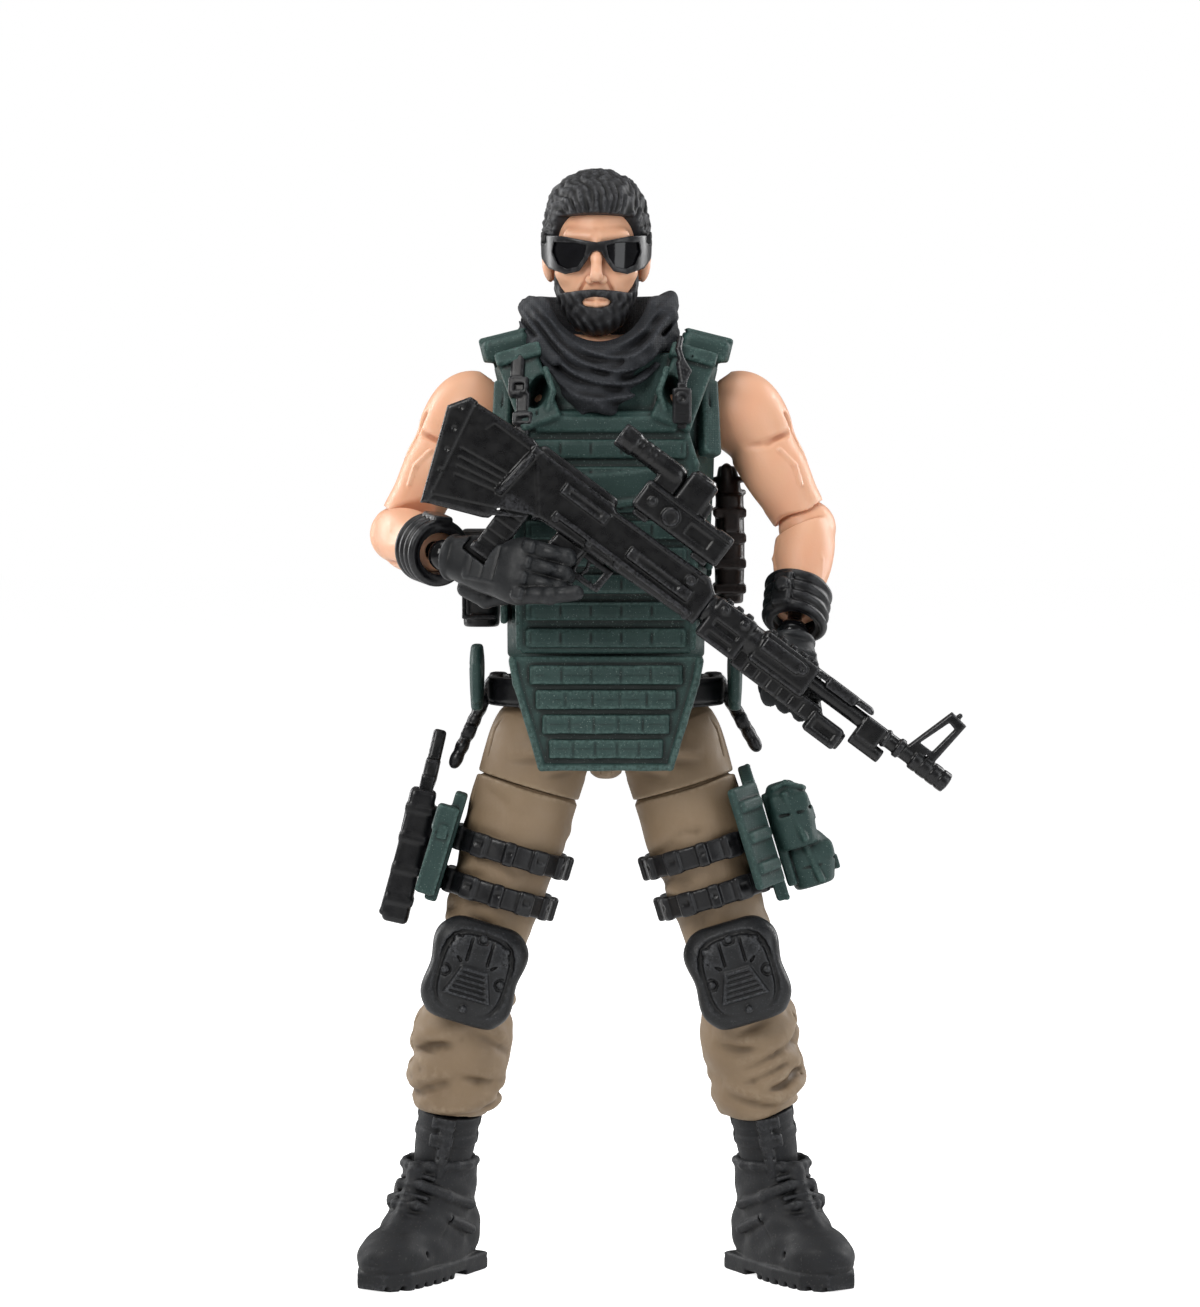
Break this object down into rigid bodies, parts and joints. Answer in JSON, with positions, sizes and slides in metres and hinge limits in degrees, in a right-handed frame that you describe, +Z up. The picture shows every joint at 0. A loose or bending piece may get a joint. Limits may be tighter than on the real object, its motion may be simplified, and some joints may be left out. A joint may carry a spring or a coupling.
{
  "type": "action figure",
  "caption": "Poseable small-scale soldier figure in a plate vest, scarf, knee pads and boots, holding a long gun across the chest.",
  "frame": {"origin": "middle of the box's underside, on the floor the boots stand on", "axes": "+Z up, the figure faces -Y, its left hand side is +X"},
  "size_m": [0.0562, 0.0292, 0.1051],
  "materials": {
    "skin": "satin painted skin with a soft wash",
    "hair": "matte, brushed strands",
    "lens": "gloss",
    "scarf_cloth": "matte, moulded folds and weave",
    "vest": "matte with lighter edges",
    "trousers": "matte with a brown wash",
    "gear": "satin black",
    "gunmetal": "semi-matte black with worn edges",
    "boot": "matte charcoal, dry-brushed",
    "peg": "gloss black joint plastic"
  },
  "bodies": {
    "pelvis": {"hips": "trousers", "belt": "gear", "hip_pouch_right": "vest", "hip_pouch_left": "vest"},
    "waist": {"waist_peg": "peg"},
    "torso": {"chest": "skin", "vest_front": "vest", "vest_back": "vest", "scarf": "scarf_cloth", "radio_pouch_left": "gear", "mag_pouch_right": "gear", "talk_switch": "gear"},
    "flap": {"groin_flap": "vest"},
    "neck": {"neck_post": "skin"},
    "head": {"head": "skin", "hair": "hair", "sunglasses": "lens"},
    "gun": {"gun_body": "gunmetal", "gun_handguard": "gunmetal", "gun_barrel": "gunmetal", "gun_scope": "gunmetal", "gun_magazine": "gunmetal"},
    "pistol": {"pistol": "gunmetal"},
    "shoulder_right": {"shoulder_peg_right": "skin"},
    "upper_arm_right": {"upper_arm_right": "skin"},
    "elbow_right": {"elbow_link_right": "skin"},
    "forearm_right": {"forearm_right": "skin", "cuff_right": "gear"},
    "wrist_right": {"wrist_peg_right": "peg"},
    "hand_right": {"hand_right": "boot"},
    "shoulder_left": {"shoulder_peg_left": "skin"},
    "upper_arm_left": {"upper_arm_left": "skin"},
    "elbow_left": {"elbow_link_left": "skin"},
    "forearm_left": {"forearm_left": "skin", "cuff_left": "gear"},
    "wrist_left": {"wrist_peg_left": "peg"},
    "hand_left": {"hand_left": "boot"},
    "hip_right": {"hip_ball_right": "peg"},
    "thigh_cap_right": {"thigh_cap_right": "trousers"},
    "thigh_right": {"thigh_right": "trousers", "holster_panel_right": "vest", "holster_right": "gear"},
    "knee_right": {"knee_link_right": "peg", "knee_pad_right": "gear"},
    "shin_right": {"shin_right": "trousers"},
    "boot_shaft_right": {"boot_shaft_right": "boot"},
    "ankle_right": {"ankle_ball_right": "peg"},
    "boot_right": {"boot_right": "boot"},
    "hip_left": {"hip_ball_left": "peg"},
    "thigh_cap_left": {"thigh_cap_left": "trousers"},
    "thigh_left": {"thigh_left": "trousers", "pouch_panel_left": "vest", "drop_pouch_left": "vest"},
    "knee_left": {"knee_link_left": "peg", "knee_pad_left": "gear"},
    "shin_left": {"shin_left": "trousers"},
    "boot_shaft_left": {"boot_shaft_left": "boot"},
    "ankle_left": {"ankle_ball_left": "peg"},
    "boot_left": {"boot_left": "boot"}
  },
  "joints": [
    {"name": "waist_turn", "type": "hinge", "parent": "pelvis", "child": "waist", "pos_m": [-0.00475, 0.00618, 0.0569], "axis": [0, 0, 1], "range_deg": [-15, 15]},
    {"name": "waist_bend", "type": "hinge", "parent": "waist", "child": "torso", "pos_m": [-0.00475, 0.00638, 0.0625], "axis": [1, 0, 0], "range_deg": [-10, 2]},
    {"name": "groin_flap_swing", "type": "hinge", "parent": "torso", "child": "flap", "pos_m": [-0.00475, -0.00202, 0.0597], "axis": [1, 0, 0], "range_deg": [-45, 1]},
    {"name": "neck_tilt", "type": "hinge", "parent": "torso", "child": "neck", "pos_m": [-0.00535, 0.00698, 0.0885], "axis": [1, 0, 0], "range_deg": [-12, 2]},
    {"name": "head_turn", "type": "hinge", "parent": "neck", "child": "head", "pos_m": [-0.00565, 0.00658, 0.0941], "axis": [0, 0, 1], "range_deg": [-50, 50]},
    {"name": "shoulder_swing_right", "type": "hinge", "parent": "torso", "child": "shoulder_right", "pos_m": [-0.01735, 0.00668, 0.0823], "axis": [1, 0, 0], "range_deg": [-60, 0]},
    {"name": "shoulder_raise_right", "type": "hinge", "parent": "shoulder_right", "child": "upper_arm_right", "pos_m": [-0.01735, 0.00668, 0.0823], "axis": [0, 1, 0], "range_deg": [-8, 50]},
    {"name": "upper_arm_twist_right", "type": "hinge", "parent": "upper_arm_right", "child": "elbow_right", "pos_m": [-0.02435, 0.00618, 0.0707], "axis": [-0.5163, -0.0369, -0.8556], "range_deg": [0, 12]},
    {"name": "elbow_bend_right", "type": "hinge", "parent": "elbow_right", "child": "forearm_right", "pos_m": [-0.02435, 0.00618, 0.0707], "axis": [-0.7919, -0.3598, 0.4934], "range_deg": [-50, 4]},
    {"name": "wrist_twist_right", "type": "hinge", "parent": "forearm_right", "child": "wrist_right", "pos_m": [-0.01965, -0.00622, 0.0692], "axis": [0.3522, -0.9292, -0.1124], "range_deg": [-45, 45]},
    {"name": "wrist_bend_right", "type": "hinge", "parent": "wrist_right", "child": "hand_right", "pos_m": [-0.01965, -0.00622, 0.0692], "axis": [-0.5773, -0.1211, -0.8075], "range_deg": [0, 45]},
    {"name": "shoulder_swing_left", "type": "hinge", "parent": "torso", "child": "shoulder_left", "pos_m": [0.00785, 0.00668, 0.0823], "axis": [1, 0, 0], "range_deg": [0, 18]},
    {"name": "shoulder_raise_left", "type": "hinge", "parent": "shoulder_left", "child": "upper_arm_left", "pos_m": [0.00785, 0.00668, 0.0823], "axis": [0, -1, 0], "range_deg": [-5, 50]},
    {"name": "upper_arm_twist_left", "type": "hinge", "parent": "upper_arm_left", "child": "elbow_left", "pos_m": [0.01425, 0.00558, 0.0713], "axis": [0.501, -0.0861, -0.8611], "range_deg": [0, 26]},
    {"name": "elbow_bend_left", "type": "hinge", "parent": "elbow_left", "child": "forearm_left", "pos_m": [0.01425, 0.00558, 0.0713], "axis": [-0.63, 0.6459, -0.4312], "range_deg": [-55, 4]},
    {"name": "wrist_twist_left", "type": "hinge", "parent": "forearm_left", "child": "wrist_left", "pos_m": [0.01255, -0.00242, 0.0618], "axis": [-0.1356, -0.6382, -0.7578], "range_deg": [-18, 18]},
    {"name": "wrist_bend_left", "type": "hinge", "parent": "wrist_left", "child": "hand_left", "pos_m": [0.01255, -0.00242, 0.0618], "axis": [1, 0, 0], "range_deg": [-5, 45]},
    {"name": "hip_swing_right", "type": "hinge", "parent": "pelvis", "child": "hip_right", "pos_m": [-0.01075, 0.00618, 0.051], "axis": [1, 0, 0], "range_deg": [-38, 40]},
    {"name": "hip_spread_right", "type": "hinge", "parent": "hip_right", "child": "thigh_cap_right", "pos_m": [-0.01075, 0.00618, 0.051], "axis": [0, 1, 0], "range_deg": [-8, 8]},
    {"name": "thigh_twist_right", "type": "hinge", "parent": "thigh_cap_right", "child": "thigh_right", "pos_m": [-0.01075, 0.00618, 0.051], "axis": [0.289, 0.0533, 0.9558], "range_deg": [-30, 30]},
    {"name": "knee_upper_right", "type": "hinge", "parent": "thigh_right", "child": "knee_right", "pos_m": [-0.0167, 0.00508, 0.03132], "axis": [0.9572, 0, -0.2894], "range_deg": [-4, 40]},
    {"name": "knee_lower_right", "type": "hinge", "parent": "knee_right", "child": "shin_right", "pos_m": [-0.0178, 0.00488, 0.02768], "axis": [0.9572, 0, -0.2894], "range_deg": [-4, 40]},
    {"name": "boot_twist_right", "type": "hinge", "parent": "shin_right", "child": "boot_shaft_right", "pos_m": [-0.02065, 0.00738, 0.0094], "axis": [0.1656, -0.1169, 0.9792], "range_deg": [-40, 40]},
    {"name": "ankle_pitch_right", "type": "hinge", "parent": "boot_shaft_right", "child": "ankle_right", "pos_m": [-0.02065, 0.00738, 0.0094], "axis": [0.8387, -0.5446, 0], "range_deg": [-14, 12]},
    {"name": "ankle_rock_right", "type": "hinge", "parent": "ankle_right", "child": "boot_right", "pos_m": [-0.02065, 0.00738, 0.0094], "axis": [0.5446, 0.8387, 0], "range_deg": [-6, 14]},
    {"name": "hip_swing_left", "type": "hinge", "parent": "pelvis", "child": "hip_left", "pos_m": [0.00125, 0.00618, 0.051], "axis": [1, 0, 0], "range_deg": [-38, 40]},
    {"name": "hip_spread_left", "type": "hinge", "parent": "hip_left", "child": "thigh_cap_left", "pos_m": [0.00125, 0.00618, 0.051], "axis": [0, -1, 0], "range_deg": [-8, 8]},
    {"name": "thigh_twist_left", "type": "hinge", "parent": "thigh_cap_left", "child": "thigh_left", "pos_m": [0.00125, 0.00618, 0.051], "axis": [-0.289, 0.0533, 0.9558], "range_deg": [-30, 30]},
    {"name": "knee_upper_left", "type": "hinge", "parent": "thigh_left", "child": "knee_left", "pos_m": [0.0072, 0.00508, 0.03132], "axis": [0.9572, 0, 0.2894], "range_deg": [-4, 40]},
    {"name": "knee_lower_left", "type": "hinge", "parent": "knee_left", "child": "shin_left", "pos_m": [0.0083, 0.00488, 0.02768], "axis": [0.9572, 0, 0.2894], "range_deg": [-4, 40]},
    {"name": "boot_twist_left", "type": "hinge", "parent": "shin_left", "child": "boot_shaft_left", "pos_m": [0.01115, 0.00738, 0.0094], "axis": [-0.1656, -0.1169, 0.9792], "range_deg": [-40, 40]},
    {"name": "ankle_pitch_left", "type": "hinge", "parent": "boot_shaft_left", "child": "ankle_left", "pos_m": [0.01115, 0.00738, 0.0094], "axis": [0.8387, 0.5446, 0], "range_deg": [-14, 12]},
    {"name": "ankle_rock_left", "type": "hinge", "parent": "ankle_left", "child": "boot_left", "pos_m": [0.01115, 0.00738, 0.0094], "axis": [-0.5446, 0.8387, 0], "range_deg": [-14, 6]},
    {"name": "gun_lift", "type": "slide", "parent": "hand_right", "child": "gun", "axis": [0.599, 0, 0.8007], "range_m": [0, 0.03]},
    {"name": "pistol_draw", "type": "slide", "parent": "thigh_right", "child": "pistol", "axis": [0.2215, 0.0532, 0.9737], "range_m": [0, 0.009]}
  ]
}
